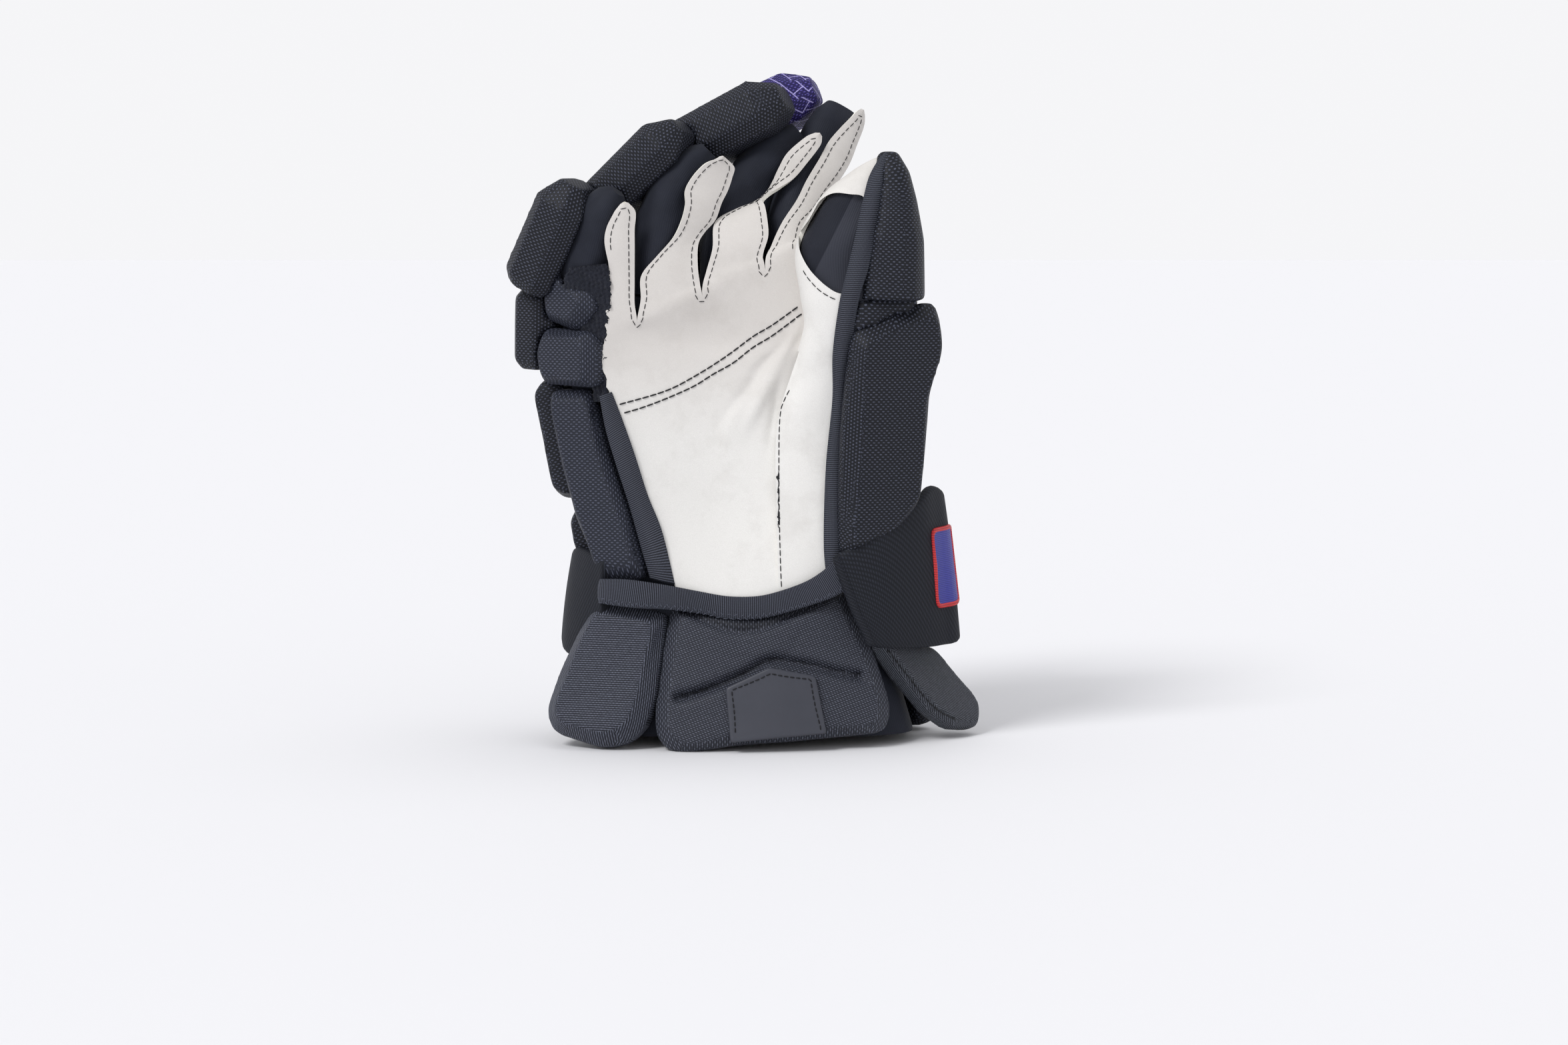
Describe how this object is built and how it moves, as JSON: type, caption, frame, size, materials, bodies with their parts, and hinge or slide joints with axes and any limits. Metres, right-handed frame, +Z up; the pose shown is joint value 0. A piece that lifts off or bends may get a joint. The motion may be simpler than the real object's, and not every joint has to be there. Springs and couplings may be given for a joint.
{
  "type": "ice hockey glove",
  "caption": "Right-hand ice hockey glove with white leather palm and finger tongues, padded dark rolls on fingers and hand, padded thumb, wrist wings and a flared cuff.",
  "frame": {"origin": "on the floor below the middle of the glove's box, the glove standing on its cuff", "axes": "-Y out of the palm, +X to the thumb side, +Z up to the fingertips"},
  "size_m": [0.2304, 0.1192, 0.3252],
  "materials": {
    "mesh_fabric": "coarse knitted mesh, matt",
    "woven_fabric": "broken basket weave, matt",
    "stretch_cloth": "smooth stretch knit, satin",
    "brushed_fleece": "brushed pile, matt",
    "ribbed_tape": "ribbed grosgrain, matt",
    "twill": "fine twill, matt",
    "palm_leather": "fine-grained split leather, matt",
    "smooth_rubber": "smooth, satin",
    "violet_mesh": "printed knitted mesh, matt",
    "emblem_cloth": "embroidered twill, matt"
  },
  "bodies": {
    "root": {"little_tip_roll": "mesh_fabric", "ring_tip_roll": "mesh_fabric", "middle_tip_roll": "mesh_fabric", "little_base_roll": "mesh_fabric", "ring_base_roll": "mesh_fabric", "middle_base_roll": "mesh_fabric", "index_base_roll": "mesh_fabric", "thumb_tip_roll": "mesh_fabric", "thumb_base_roll": "mesh_fabric", "thumb_side_pad": "mesh_fabric", "back_roll_upper": "mesh_fabric", "back_roll_lower": "mesh_fabric", "cuff_back_roll": "mesh_fabric", "cuff_left_roll": "mesh_fabric", "cuff_palm_pad": "mesh_fabric", "cuff_right_roll": "mesh_fabric", "hand_side_pad": "woven_fabric", "little_side_pad_upper": "woven_fabric", "little_side_pad_lower": "woven_fabric", "hand_lining": "stretch_cloth", "thumb_gusset": "stretch_cloth", "little_gusset": "stretch_cloth", "ring_gusset": "stretch_cloth", "middle_gusset": "stretch_cloth", "index_gusset": "stretch_cloth", "side_fleece_panel": "brushed_fleece", "palm_binding": "ribbed_tape", "thumb_binding": "ribbed_tape", "wrist_binding": "ribbed_tape", "wrist_wing_right": "twill", "wrist_wing_left": "twill", "palm_leather": "palm_leather", "thumb_leather": "palm_leather", "cuff_patch": "smooth_rubber", "index_tip_roll": "violet_mesh", "wing_emblem": "emblem_cloth"}
  },
  "joints": []
}
